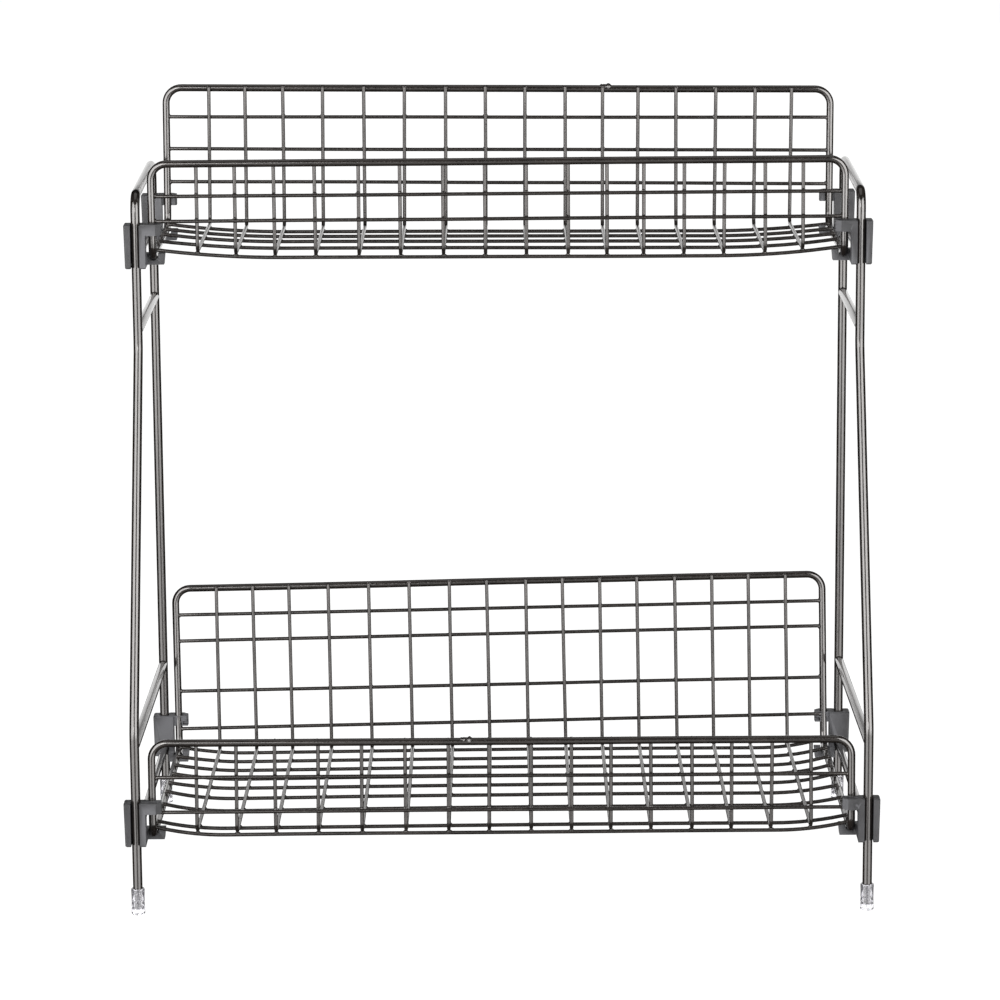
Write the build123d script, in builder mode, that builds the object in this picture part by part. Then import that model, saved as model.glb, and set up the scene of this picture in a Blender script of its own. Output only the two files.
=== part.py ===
from build123d import *
from dataclasses import dataclass
from math import atan, cos, pi, radians, sin, tan
import os

os.makedirs("parts", exist_ok=True)

# Two-tier wire basket rack for a counter, in millimetres.
# x runs to the right, y to the back and z up; the rack rests on z = 0.
# Depths are first counted from the axis of the lower front legs, then centred.

# Side frames, one bent wire each with welded braces
frame_half_width = 192.0
frame_depth = 208.5
frame_height = 371.2
leg_diameter = 5.0
leg_lower_bend_height = 98.4
leg_upper_bend_drop = 84.7
leg_step_back = 86.5
leg_bend_radius = 16.0
frame_corner_radius = 9.0
brace_diameter = 5.0
rail_diameter = 4.0
lower_brace_drop = 7.4
upper_brace_rise = 10.0
weld_gap = 0.02

# Clear foot caps
foot_diameter = 7.1
foot_height = 14.1
foot_sole = 2.8
foot_bore_gap = 0.05
foot_edge_radius = 0.9

# Basket wires
rim_diameter = 4.0
mesh_diameter = 2.0
rim_inset = 8.4
rim_setback = 3.0
rim_corner_radius = 8.5
rim_foot_radius = 8.0
cross_wire_count = 16
cross_wire_drift = 3.6
cross_wire_bend_radius = 5.0
cross_wire_overrun = 0.8
floor_drop = 1.4
corner_wire_angle = 20.0
corner_wire_gap = 0.15

# Where the rails are and how high the basket walls stand
upper_rail_drop = 36.2
lower_rail_height = 42.5
upper_front_height = 50.5
upper_back_height = 78.4
lower_front_height = 49.7
lower_back_height = 95.0

# Moulded clips
clip_height = 23.6
clip_below_rail = 4.7
clip_outer_reach = 6.2
clip_rim_gap = 1.2
clip_mouth_reach = 4.6
clip_back_reach = 4.4
clip_slide_gap = 0.2
clip_mouth_width = 4.8
clip_mouth_offset = 0.3
clip_side_taper = 0.5
clip_edge_radius = 1.0
clip_small_edge = 0.5
clip_rail_gap = 0.3
clip_arm_past_rim = 3.1
clip_arm_height = 5.9
clip_arm_back = 3.0
clip_nose_length = 2.8
clip_nose_depth = 2.4
clip_web_thickness = 2.3
clip_cradle_front = 9.8
clip_cradle_depth = 5.6
clip_cradle_height = 6.0
clip_cradle_wall = 3.7
clip_cradle_taper = 0.6
clip_cradle_gap = 0.5
clip_seat_gap = 0.1
clip_mark_inset = 1.7
clip_mark_diameter = 2.8
clip_mark_depth = 0.3


@dataclass
class Tier:
    """One basket: where its front legs, braces and rails are and its rows of wire."""

    name: str
    leg_depth: float
    brace_height: float
    rail_height: float
    tilt: float
    front_height: float
    back_height: float
    back_lean: float
    flat_floor_share: float
    back_corner_wire: bool
    front_row_shares: tuple
    floor_row_shares: tuple
    back_row_shares: tuple


tiers = [
    Tier(
        name="upper",
        leg_depth=leg_step_back,
        brace_height=frame_height - leg_upper_bend_drop + upper_brace_rise,
        rail_height=frame_height - upper_rail_drop,
        tilt=1.2,
        front_height=upper_front_height,
        back_height=upper_back_height,
        back_lean=0.1,
        flat_floor_share=0.63,
        back_corner_wire=False,
        front_row_shares=(0.396, 0.661),
        floor_row_shares=(0.354, 0.573, 0.751, 0.916),
        back_row_shares=(0.323, 0.558, 0.788),
    ),
    Tier(
        name="lower",
        leg_depth=0.0,
        brace_height=leg_lower_bend_height - lower_brace_drop,
        rail_height=lower_rail_height,
        tilt=2.6,
        front_height=lower_front_height,
        back_height=lower_back_height,
        back_lean=3.6,
        flat_floor_share=0.79,
        back_corner_wire=True,
        front_row_shares=(0.252, 0.616),
        floor_row_shares=(0.110, 0.303, 0.443, 0.557, 0.665, 0.768, 0.873),
        back_row_shares=(0.153, 0.382, 0.684, 0.839),
    ),
]

# Sizes that follow from the ones above
leg_radius = leg_diameter / 2
rail_radius = rail_diameter / 2
rim_radius = rim_diameter / 2
mesh_radius = mesh_diameter / 2
foot_radius = foot_diameter / 2
rim_to_cross = rim_radius + mesh_radius + weld_gap
cross_to_long = mesh_diameter + weld_gap
rim_half_width = frame_half_width - rim_inset
leg_upper_bend_height = frame_height - leg_upper_bend_drop
clip_top = clip_height - clip_below_rail
clip_inner_reach = rim_inset - rim_radius - clip_rim_gap
clip_arm_reach = rim_inset + rim_radius + clip_arm_past_rim
clip_cradle_reach = rim_inset + rim_radius + clip_cradle_gap + clip_cradle_wall
clip_mark_reach = rim_inset - clip_mark_inset
top_bar_height = frame_height - leg_radius


def back_plane_depth(tier):
    """Distance along the tilted floor from the front leg axis to the back wall."""
    return (frame_depth - rim_setback - tier.leg_depth) / cos(radians(tier.tilt))


def wall_point(tier, height, inset=0.0):
    """Point of the leaning back wall, as (depth, height) in the tier's own frame."""
    lean = radians(tier.back_lean)
    depth = back_plane_depth(tier) + height * sin(lean) - inset * cos(lean)
    return depth, height * cos(lean) + inset * sin(lean)


def wall_depth_at(tier, height, inset):
    """Depth of a line inside the back wall where it is this high above the floor."""
    lean = radians(tier.back_lean)
    return back_plane_depth(tier) + height * tan(lean) - inset / cos(lean)


def mesh_arc(tier, height, seat):
    """Flat half length, rise and radius of a long floor wire that curves up to its seat."""
    flat = tier.flat_floor_share * rim_half_width
    run = rim_half_width - flat
    end_slope = 2 * atan((seat - height) / run)
    rise = seat / cos(end_slope) - height
    return flat, rise, (run**2 + rise**2) / (2 * rise)


def mesh_lift(tier, x):
    """How much the floor mesh has risen at x, next to the side wires."""
    flat, _, radius = mesh_arc(tier, -floor_drop, rim_to_cross)
    past = max(abs(x) - flat, 0)
    return radius - (radius**2 - past**2) ** 0.5


def rim_seat(tier, depth):
    """Height of a wire that lies on the side wire, also where that bends up."""
    inner = rim_foot_radius - rim_to_cross
    rear_centre = wall_depth_at(tier, rim_foot_radius, rim_foot_radius)
    past = max(rim_setback + rim_foot_radius - depth, depth - rear_centre, 0)
    return rim_foot_radius - (inner**2 - past**2) ** 0.5


def rear_reach(tier):
    """How far back of the lower front legs the top of the back wall reaches."""
    depth, height = wall_point(tier, tier.back_height)
    tilt = radians(tier.tilt)
    return tier.leg_depth + depth * cos(tilt) + height * sin(tilt) + rim_radius


front_reach = max(clip_mouth_reach, foot_radius)
back_reach = max([frame_depth + front_reach] + [rear_reach(tier) for tier in tiers])
centre_depth = (back_reach - front_reach) / 2


def tier_plane(tier, x=0.0):
    """Frame of a basket: x to the right, y back along its floor, z out of its floor."""
    tilt = radians(tier.tilt)
    origin = (x, tier.leg_depth - centre_depth, tier.rail_height)
    return Plane(origin=origin, x_dir=(1, 0, 0), z_dir=(0, sin(tilt), cos(tilt)))


def tier_side_plane(tier, x):
    """Side view of a basket at x: first axis back along its floor, second up."""
    tilt = radians(tier.tilt)
    origin = (x, tier.leg_depth - centre_depth, tier.rail_height)
    return Plane(origin=origin, x_dir=(0, cos(tilt), -sin(tilt)), z_dir=(1, 0, 0))


def frame_side_plane(x):
    """Side view of the rack at x: first axis back, second up."""
    return Plane(origin=(x, -centre_depth, 0), x_dir=(0, 1, 0), z_dir=(1, 0, 0))


def rail_height_at(tier, depth):
    """Height of a tier's rail at a depth behind the lower front legs."""
    return tier.rail_height - (depth - tier.leg_depth) * tan(radians(tier.tilt))


def finish(built, name):
    """Label a piece and write it."""
    built.part.label = name
    export_step(built.part, f"parts/{name}.step")


def round_wire(path, diameter):
    """Sweep a round section along the path of the part being built."""
    start = Plane(origin=path.line @ 0, z_dir=path.line % 0)
    with BuildSketch(start) as section:
        Circle(diameter / 2)
    sweep(section.sketch, path=path.line)


def frame_wire(side):
    """The bent wire of one side frame, from foot to foot over the top."""
    with BuildPart() as wire:
        with BuildLine(frame_side_plane(side * frame_half_width)) as path:
            FilletPolyline(
                (0, foot_sole),
                (0, leg_lower_bend_height),
                (leg_step_back, leg_upper_bend_height),
                (leg_step_back, top_bar_height),
                (frame_depth, top_bar_height),
                (frame_depth, foot_sole),
                radius=(leg_bend_radius, leg_bend_radius, frame_corner_radius, frame_corner_radius),
            )
        round_wire(path, leg_diameter)
    return wire


def tie_wire(side, tier, front_height, diameter):
    """A straight wire between the legs, tilted as its tier and coped at both ends."""
    x = side * frame_half_width
    drop = tier.rail_height - rail_height_at(tier, frame_depth)
    front = Vector(x, tier.leg_depth - centre_depth, front_height)
    rear = Vector(x, frame_depth - centre_depth, front_height - drop)
    with BuildPart() as bar:
        with BuildSketch(Plane(origin=front, z_dir=rear - front)):
            Circle(diameter / 2)
        extrude(amount=(rear - front).length)
        with Locations(front, rear):
            Cylinder(leg_radius + weld_gap, 4 * leg_diameter, mode=Mode.SUBTRACT)
    return bar


def foot_cap(side, depth):
    """A clear push-on cap with a closed sole."""
    centre = (side * frame_half_width, depth - centre_depth)
    with BuildPart() as cap:
        with BuildSketch():
            with Locations(centre):
                Circle(foot_radius)
        extrude(amount=foot_height)
        fillet(cap.edges().group_by(Axis.Z)[0], foot_edge_radius)
        with BuildSketch(Plane.XY.offset(foot_sole)):
            with Locations(centre):
                Circle(leg_radius + foot_bore_gap)
        extrude(amount=foot_height, mode=Mode.SUBTRACT)
    return cap


def basket_rim(tier, growth=0.0):
    """The closed thick wire: front bar, two bent sides and back bar."""
    half = rim_half_width
    back_foot = wall_point(tier, 0)
    back_top = wall_point(tier, tier.back_height)
    with BuildPart() as rim:
        with BuildLine(tier_plane(tier)) as path:
            FilletPolyline(
                (0, rim_setback, tier.front_height),
                (half, rim_setback, tier.front_height),
                (half, rim_setback, 0),
                (half, back_foot[0], back_foot[1]),
                (half, back_top[0], back_top[1]),
                (0, back_top[0], back_top[1]),
                radius=(rim_corner_radius, rim_foot_radius, rim_foot_radius, rim_corner_radius),
            )
        round_wire(path, rim_diameter + 2 * growth)
        mirror(about=Plane.YZ)
    return rim


def cross_wire(tier, x):
    """One U-shaped wire on the inner side of the basket."""
    front = rim_setback + rim_to_cross
    floor = cross_to_long - floor_drop + mesh_lift(tier, x)
    back_foot = wall_depth_at(tier, floor, rim_to_cross)
    back_top = wall_point(tier, tier.back_height + cross_wire_overrun, rim_to_cross)
    with BuildPart() as wire:
        with BuildLine(tier_side_plane(tier, x)) as path:
            FilletPolyline(
                (front, tier.front_height + cross_wire_overrun),
                (front, floor),
                (back_foot, floor),
                back_top,
                radius=cross_wire_bend_radius,
            )
        round_wire(path, mesh_diameter)
    return wire


def cross_wire_places():
    """Places in x from left to right; the cells on the right are a little narrower."""
    places = []
    for step in range(cross_wire_count):
        share = (step + 1) / (cross_wire_count + 1)
        even = (2 * share - 1) * rim_half_width
        places.append(even + cross_wire_drift * sin(pi * share))
    return places


def cross_wires(tier):
    """The U-shaped wires side by side between the side wires."""
    single = [cross_wire(tier, x).part for x in cross_wire_places()]
    with BuildPart() as wires:
        add(single)
    return wires


def wall_wires(tier, points, growth=0.0):
    """Straight long wires of a wall, butted between the uprights of the rim."""
    half = rim_half_width - rim_radius
    with BuildPart() as wires:
        with BuildSketch(tier_side_plane(tier, -half)):
            with Locations(*points):
                Circle(mesh_radius + growth)
        extrude(amount=2 * half)
    return wires


def front_wires(tier, growth=0.0):
    """Long wires of the front wall, outside the cross wires."""
    depth = rim_setback + rim_to_cross - cross_to_long
    rows = [share * tier.front_height for share in tier.front_row_shares]
    return wall_wires(tier, [(depth, row) for row in rows], growth)


def back_wires(tier, growth=0.0):
    """Long wires of the back wall, outside the cross wires."""
    inset = rim_to_cross - cross_to_long
    rows = [share * tier.back_height for share in tier.back_row_shares]
    return wall_wires(tier, [wall_point(tier, row, inset) for row in rows], growth)


def floor_wire(tier, depth, height):
    """One long floor wire in three lengths: its flat middle and the two rising ends."""
    flat, rise, radius = mesh_arc(tier, height, rim_seat(tier, depth))
    half_turn = atan(rise / (rim_half_width - flat))
    middle_x = flat + radius * sin(half_turn)
    middle_height = height + radius * (1 - cos(half_turn))
    base = tier_plane(tier)
    origin = base.from_local_coords((0, depth, 0))
    elevation = Plane(origin=origin, x_dir=base.x_dir, z_dir=-base.y_dir)
    lengths = []
    for side in (-1, 1):
        with BuildPart() as rising:
            with BuildLine(elevation) as path:
                ThreePointArc(
                    (side * flat, height),
                    (side * middle_x, middle_height),
                    (side * rim_half_width, height + rise),
                )
            round_wire(path, mesh_diameter)
        lengths.append(rising.part)
    with BuildPart() as level:
        with BuildLine(elevation) as path:
            Line((weld_gap - flat, height), (flat - weld_gap, height))
        round_wire(path, mesh_diameter)
    lengths.append(level.part)
    return lengths


def floor_wires(tier):
    """All long floor wires under the cross wires, with those in the bends."""
    under = -floor_drop
    span = back_plane_depth(tier) - rim_setback
    places = [(rim_setback + share * span, under) for share in tier.floor_row_shares]
    turn = radians(corner_wire_angle)
    reach = cross_wire_bend_radius + cross_to_long + corner_wire_gap
    centre_height = under + cross_to_long + cross_wire_bend_radius
    bend_height = centre_height - reach * cos(turn)
    front_centre = rim_setback + rim_to_cross + cross_wire_bend_radius
    places.append((front_centre - reach * sin(turn), bend_height))
    if tier.back_corner_wire:
        inset = rim_to_cross + cross_wire_bend_radius
        back_centre = wall_depth_at(tier, centre_height, inset)
        places.append((back_centre + reach * sin(turn), bend_height))
    single = []
    for depth, height in places:
        single.extend(floor_wire(tier, depth, height))
    with BuildPart() as wires:
        add(single)
    return wires


def clip_body(marked):
    """A clip about the leg axis: x towards the basket, y into it, z = 0 at the rail."""
    low = -clip_below_rail
    inner = clip_inner_reach
    root = inner - clip_web_thickness
    with BuildPart() as clip:
        with BuildSketch(Plane.XZ.offset(clip_mouth_reach)):
            with BuildLine():
                Polyline(
                    (-clip_outer_reach, clip_top),
                    (-clip_outer_reach + clip_side_taper, low),
                    (inner, low),
                    (inner, clip_top),
                    close=True,
                )
            make_face()
        extrude(amount=-clip_mouth_reach - clip_back_reach)
        outer_side = clip.faces().sort_by(Axis.X)[0]
        fillet(outer_side.edges().filter_by(Axis.Y, reverse=True), clip_edge_radius)
        for level in (0, -1):
            rim_edges = clip.faces().filter_by(Axis.Z).sort_by(Axis.Z)[level].edges()
            chamfer(rim_edges.sort_by(Axis.X)[:-1], clip_small_edge)
        with BuildSketch(Plane.XY.offset(clip_top - clip_arm_height)):
            with BuildLine():
                Polyline(
                    (root, -clip_mouth_reach),
                    (clip_arm_reach - clip_nose_length, -clip_mouth_reach),
                    (clip_arm_reach, clip_nose_depth - clip_mouth_reach),
                    (clip_arm_reach, clip_arm_back),
                    (root, clip_arm_back),
                    close=True,
                )
            make_face()
        extrude(amount=clip_arm_height)
        arm_end = clip.faces().filter_by(Axis.X).sort_by(Axis.X)[-1]
        fillet(arm_end.edges().filter_by(Axis.Z).sort_by(Axis.Y)[-1], clip_edge_radius)
        with BuildSketch(Plane.XY.offset(low)):
            with Locations((root, 0)):
                Rectangle(
                    clip_web_thickness,
                    clip_cradle_front + clip_cradle_depth,
                    align=(Align.MIN, Align.MIN),
                )
        extrude(amount=clip_cradle_height)
        with BuildSketch(Plane.XZ.offset(-clip_cradle_front)):
            with BuildLine():
                Polyline(
                    (root, low),
                    (clip_cradle_reach - clip_cradle_taper, low),
                    (clip_cradle_reach, low + clip_cradle_height),
                    (root, low + clip_cradle_height),
                    close=True,
                )
            make_face()
            with Locations((rim_inset, 0)):
                Circle(rim_radius + clip_cradle_gap, mode=Mode.SUBTRACT)
            with Locations((rim_inset, clip_cradle_height)):
                Rectangle(
                    2 * (rim_radius + clip_cradle_gap),
                    2 * clip_cradle_height,
                    mode=Mode.SUBTRACT,
                )
        extrude(amount=-clip_cradle_depth)
        with BuildSketch(Plane.XY.offset(low)):
            Circle(leg_radius + clip_slide_gap)
            with Locations((-clip_mouth_offset, -clip_mouth_reach)):
                Rectangle(clip_mouth_width, 2 * clip_mouth_reach)
        extrude(amount=clip_height, mode=Mode.SUBTRACT)
        with BuildSketch(Plane.XZ):
            Circle(rail_radius + clip_rail_gap)
            with Locations((0, low)):
                Rectangle(2 * (rail_radius + clip_rail_gap), 2 * clip_below_rail)
        extrude(amount=-2 * clip_back_reach, mode=Mode.SUBTRACT)
        if marked:
            mark_height = clip_top - clip_arm_height / 2
            with BuildSketch(Plane.XZ.offset(clip_mouth_reach)):
                with Locations((clip_mark_reach, mark_height)):
                    Circle(clip_mark_diameter / 2)
            extrude(amount=-clip_mark_depth, mode=Mode.SUBTRACT)
    return clip


def place_clip(tier, side, at_front, seats):
    """Turn the clip to its corner and cut it to the wires that it holds."""
    body = clip_body(marked=side > 0).part
    if side > 0:
        body = mirror(body, about=Plane.YZ)
    if not at_front:
        body = mirror(body, about=Plane.XZ)
    depth = tier.leg_depth if at_front else frame_depth
    spot = (side * frame_half_width, depth - centre_depth, rail_height_at(tier, depth))
    with BuildPart() as clip:
        with Locations(spot):
            add(body)
        add(seats, mode=Mode.SUBTRACT)
    return clip


for side, side_name in ((-1, "left"), (1, "right")):
    finish(frame_wire(side), f"{side_name}_frame_wire")
    finish(foot_cap(side, 0), f"{side_name}_front_foot")
    finish(foot_cap(side, frame_depth), f"{side_name}_rear_foot")
    for tier in tiers:
        brace = tie_wire(side, tier, tier.brace_height, brace_diameter)
        finish(brace, f"{side_name}_{tier.name}_brace")
        rail = tie_wire(side, tier, tier.rail_height, rail_diameter)
        finish(rail, f"{side_name}_{tier.name}_rail")

for tier in tiers:
    finish(basket_rim(tier), f"{tier.name}_basket_rim")
    finish(cross_wires(tier), f"{tier.name}_cross_wires")
    finish(front_wires(tier), f"{tier.name}_front_wires")
    finish(floor_wires(tier), f"{tier.name}_floor_wires")
    finish(back_wires(tier), f"{tier.name}_back_wires")
    held = [piece(tier, clip_seat_gap) for piece in (basket_rim, front_wires, back_wires)]
    seats = [piece.part for piece in held]
    for side, side_name in ((-1, "left"), (1, "right")):
        finish(place_clip(tier, side, True, seats), f"{side_name}_{tier.name}_front_clip")
        finish(place_clip(tier, side, False, seats), f"{side_name}_{tier.name}_rear_clip")
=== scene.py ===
"""Looks of a wire basket rack: lacquered wires, moulded clips, clear foot caps.

Everything is in metres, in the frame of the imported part: x to the rack's right, y to its back,
z up, with the feet on z = 0.
"""

import logging
import math
import random
from dataclasses import dataclass, field
from enum import Enum
from functools import cached_property
from typing import Iterable, Sequence

import bmesh
import bpy
from mathutils import Matrix, Vector, noise


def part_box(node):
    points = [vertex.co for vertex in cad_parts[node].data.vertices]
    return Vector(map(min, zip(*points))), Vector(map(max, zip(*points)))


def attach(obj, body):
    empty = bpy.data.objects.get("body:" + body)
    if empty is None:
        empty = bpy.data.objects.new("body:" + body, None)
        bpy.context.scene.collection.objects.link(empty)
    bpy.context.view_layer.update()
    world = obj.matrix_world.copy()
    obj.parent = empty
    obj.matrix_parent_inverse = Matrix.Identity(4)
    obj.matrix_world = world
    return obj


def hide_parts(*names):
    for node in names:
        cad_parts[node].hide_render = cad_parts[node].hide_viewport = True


log = logging.getLogger("rack")
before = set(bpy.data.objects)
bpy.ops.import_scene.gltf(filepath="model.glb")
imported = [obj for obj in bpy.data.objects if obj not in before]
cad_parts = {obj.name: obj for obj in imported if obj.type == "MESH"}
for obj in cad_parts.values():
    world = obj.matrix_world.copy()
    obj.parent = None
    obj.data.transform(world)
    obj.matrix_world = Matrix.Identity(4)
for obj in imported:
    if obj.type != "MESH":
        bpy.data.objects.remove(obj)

MM = 0.001
WANDER_SEED = 5


class Side(Enum):
    """The two ends of the rack, with the sign of their x."""

    LEFT = -1
    RIGHT = 1

    @property
    def word(self) -> str:
        """Word that starts the names of this side's pieces."""
        return self.name.lower()


class Wall(Enum):
    """The two upright walls of a basket's mesh."""

    FRONT = "front"
    BACK = "back"


# Shaders


# A Mix node's colour sockets go by number, since its other types share their names
MIX_FIRST, MIX_SECOND, MIX_RESULT = 6, 7, 2


class NodeBoard:
    """A material's node tree with short ways to add and join nodes."""

    def __init__(self, name: str) -> None:
        """Start a material.

        Args:
            name: The material's name.
        """
        self.material = bpy.data.materials.new(name)
        self.material.use_nodes = True
        self.tree = self.material.node_tree
        self.tree.nodes.clear()
        self.output = self.tree.nodes.new("ShaderNodeOutputMaterial")

    def add(self, kind: str, **values: object) -> bpy.types.Node:
        """Add a node.

        Args:
            kind: Blender's node type, without the leading ShaderNode.
            **values: Socket names, with spaces as underscores, or node properties.

        Returns:
            The new node.
        """
        node = self.tree.nodes.new(f"ShaderNode{kind}")
        for key, value in values.items():
            label = key.replace("_", " ")
            if label in node.inputs:
                node.inputs[label].default_value = value
            else:
                setattr(node, key, value)
        return node

    def join(self, source: bpy.types.NodeSocket, target: bpy.types.NodeSocket) -> None:
        """Link two sockets.

        Args:
            source: The output that gives the value.
            target: The input that takes it.
        """
        self.tree.links.new(source, target)

    def noise(
        self, scale: float, detail: float, place: bpy.types.NodeSocket
    ) -> bpy.types.NodeSocket:
        """A noise pattern in the piece's own metres.

        Args:
            scale: Waves per metre.
            detail: Octaves.
            place: The coordinate socket.

        Returns:
            The pattern's value socket.
        """
        node = self.add("TexNoise", Scale=scale, Detail=detail, Roughness=0.55)
        self.join(place, node.inputs["Vector"])
        return node.outputs["Fac"]

    def spread(self, value: bpy.types.NodeSocket, low: float, high: float) -> bpy.types.NodeSocket:
        """Stretch the middle of a pattern over a range of numbers.

        Args:
            value: A pattern between 0 and 1.
            low: The number for its dark places.
            high: The number for its bright places.

        Returns:
            The stretched value.
        """
        node = self.add("MapRange", From_Min=0.3, From_Max=0.7, To_Min=low, To_Max=high)
        self.join(value, node.inputs["Value"])
        return node.outputs["Result"]

    def ramp(
        self, value: bpy.types.NodeSocket, stops: Sequence[tuple[float, tuple[float, float, float]]]
    ) -> bpy.types.NodeSocket:
        """Turn a pattern into colour.

        Args:
            value: A pattern between 0 and 1.
            stops: Places and colours, in rising order.

        Returns:
            The colour socket.
        """
        node = self.add("ValToRGB")
        marks = node.color_ramp.elements
        while len(marks) < len(stops):
            marks.new(0.5)
        for mark, (place, colour) in zip(marks, stops):
            mark.position = place
            mark.color = (*colour, 1.0)
        self.join(value, node.inputs["Fac"])
        return node.outputs["Color"]

    def bumps(
        self, layers: Iterable[tuple[bpy.types.NodeSocket, float, float]]
    ) -> bpy.types.NodeSocket:
        """Stack bump layers.

        Args:
            layers: Height pattern, strength and depth in metres of each layer.

        Returns:
            The normal socket of the last layer.
        """
        normal = None
        for height, strength, depth in layers:
            node = self.add("Bump", Strength=strength, Distance=depth)
            self.join(height, node.inputs["Height"])
            if normal is not None:
                self.join(normal, node.inputs["Normal"])
            normal = node.outputs["Normal"]
        return normal


@dataclass(frozen=True)
class WireLacquer:
    """Dark bronze-grey lacquer, baked on steel wire, with a fine orange peel.

    Scales are in waves per metre.
    """

    name: str = "wire_lacquer"
    deep: tuple[float, float, float] = (0.0045, 0.0038, 0.0034)
    worn: tuple[float, float, float] = (0.0108, 0.0089, 0.0079)
    smooth: float = 0.13
    rough: float = 0.23
    metallic: float = 0.25
    shine: float = 0.72
    coat: float = 0.4
    coat_roughness: float = 0.09
    cloud_scale: float = 55.0
    grain_scale: float = 900.0
    run_scale: float = 220.0
    run_depth: float = 0.0001
    run_strength: float = 0.25
    peel_scale: float = 1500.0
    peel_depth: float = 0.00006
    peel_strength: float = 0.2

    @cached_property
    def material(self) -> bpy.types.Material:
        """The lacquer as a node material."""
        board = NodeBoard(self.name)
        place = board.add("TexCoord").outputs["Object"]
        clouds = board.noise(self.cloud_scale, 4.0, place)
        grain = board.noise(self.grain_scale, 3.0, place)
        peel = board.noise(self.peel_scale, 2.0, place)
        runs = board.noise(self.run_scale, 2.0, place)
        skin = board.add(
            "BsdfPrincipled",
            Metallic=self.metallic,
            Specular_IOR_Level=self.shine,
            Specular_Tint=(1.0, 0.97, 0.95, 1.0),
            Coat_Weight=self.coat,
            Coat_Roughness=self.coat_roughness,
            Coat_IOR=1.5,
        )
        mixed = board.add("Mix", data_type="RGBA", blend_type="MULTIPLY")
        mixed.inputs["Factor"].default_value = 0.5
        tone = board.ramp(clouds, [(0.32, self.deep), (0.68, self.worn)])
        speck = board.ramp(grain, [(0.35, (0.55, 0.55, 0.55)), (0.7, (1.0, 1.0, 1.0))])
        board.join(tone, mixed.inputs[MIX_FIRST])
        board.join(speck, mixed.inputs[MIX_SECOND])
        board.join(mixed.outputs[MIX_RESULT], skin.inputs["Base Color"])
        board.join(board.spread(grain, self.smooth, self.rough), skin.inputs["Roughness"])
        layers = [
            (runs, self.run_strength, self.run_depth),
            (peel, self.peel_strength, self.peel_depth),
        ]
        board.join(board.bumps(layers), skin.inputs["Normal"])
        board.join(skin.outputs["BSDF"], board.output.inputs["Surface"])
        return board.material


@dataclass(frozen=True)
class ClipPlastic:
    """Dark grey moulded plastic with a fine sparkling grain and a painted highlight: paler colour on
    its convex edges.
    """

    name: str = "clip_plastic"
    deep: tuple[float, float, float] = (0.0078, 0.0077, 0.0084)
    pale: tuple[float, float, float] = (0.0145, 0.0143, 0.0154)
    # Paler colour painted on convex edges as a highlight, standing in for light that the edges catch.
    rubbed: tuple[float, float, float] = (0.034, 0.034, 0.0365)
    smooth: float = 0.42
    rough: float = 0.58
    shine: float = 0.28
    cloud_scale: float = 110.0
    grain_scale: float = 2600.0
    grain_depth: float = 0.00008
    flow_scale: float = 420.0
    flow_depth: float = 0.00012

    @cached_property
    def material(self) -> bpy.types.Material:
        """The plastic as a node material."""
        board = NodeBoard(self.name)
        place = board.add("TexCoord").outputs["Object"]
        clouds = board.noise(self.cloud_scale, 3.0, place)
        grain = board.noise(self.grain_scale, 3.0, place)
        flow = board.noise(self.flow_scale, 2.0, place)
        body = board.ramp(clouds, [(0.35, self.deep), (0.65, self.pale)])
        # Painted highlight: convex edges, found by pointiness, are mixed towards the paler colour.
        edges = board.add("NewGeometry").outputs["Pointiness"]
        edge_highlight_mask = board.add("MapRange", From_Min=0.53, From_Max=0.62, To_Min=0.0, To_Max=1.0)
        board.join(edges, edge_highlight_mask.inputs["Value"])
        mixed = board.add("Mix", data_type="RGBA")
        board.join(edge_highlight_mask.outputs["Result"], mixed.inputs["Factor"])
        board.join(body, mixed.inputs[MIX_FIRST])
        mixed.inputs[MIX_SECOND].default_value = (*self.rubbed, 1.0)
        skin = board.add("BsdfPrincipled", Specular_IOR_Level=self.shine)
        board.join(mixed.outputs[MIX_RESULT], skin.inputs["Base Color"])
        board.join(board.spread(flow, self.smooth, self.rough), skin.inputs["Roughness"])
        layers = [(flow, 0.15, self.flow_depth), (grain, 0.45, self.grain_depth)]
        board.join(board.bumps(layers), skin.inputs["Normal"])
        board.join(skin.outputs["BSDF"], board.output.inputs["Surface"])
        return board.material


@dataclass(frozen=True)
class FootVinyl:
    """Clear soft vinyl, a little milky, with flow lines that run up from the sole."""

    name: str = "foot_vinyl"
    tint: tuple[float, float, float] = (0.88, 0.87, 0.91)
    clear: float = 0.012
    hazy: float = 0.04
    haze_scale: float = 300.0
    line_scale: float = 800.0
    line_stretch: float = 0.08
    line_depth: float = 0.0001

    @cached_property
    def material(self) -> bpy.types.Material:
        """The vinyl as a node material."""
        board = NodeBoard(self.name)
        place = board.add("TexCoord").outputs["Object"]
        drawn_out = board.add("Mapping", Scale=(1.0, 1.0, self.line_stretch))
        board.join(place, drawn_out.inputs["Vector"])
        haze = board.noise(self.haze_scale, 3.0, place)
        lines = board.noise(self.line_scale, 1.0, drawn_out.outputs["Vector"])
        skin = board.add(
            "BsdfPrincipled", IOR=1.46, Transmission_Weight=0.96, Specular_IOR_Level=0.5
        )
        paler = tuple(min(1.0, part * 1.05) for part in self.tint)
        duller = tuple(part * 0.86 for part in self.tint)
        board.join(board.ramp(haze, [(0.3, duller), (0.7, paler)]), skin.inputs["Base Color"])
        board.join(board.spread(haze, self.clear, self.hazy), skin.inputs["Roughness"])
        board.join(board.bumps([(lines, 0.06, self.line_depth)]), skin.inputs["Normal"])
        board.join(skin.outputs["BSDF"], board.output.inputs["Surface"])
        return board.material


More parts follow.
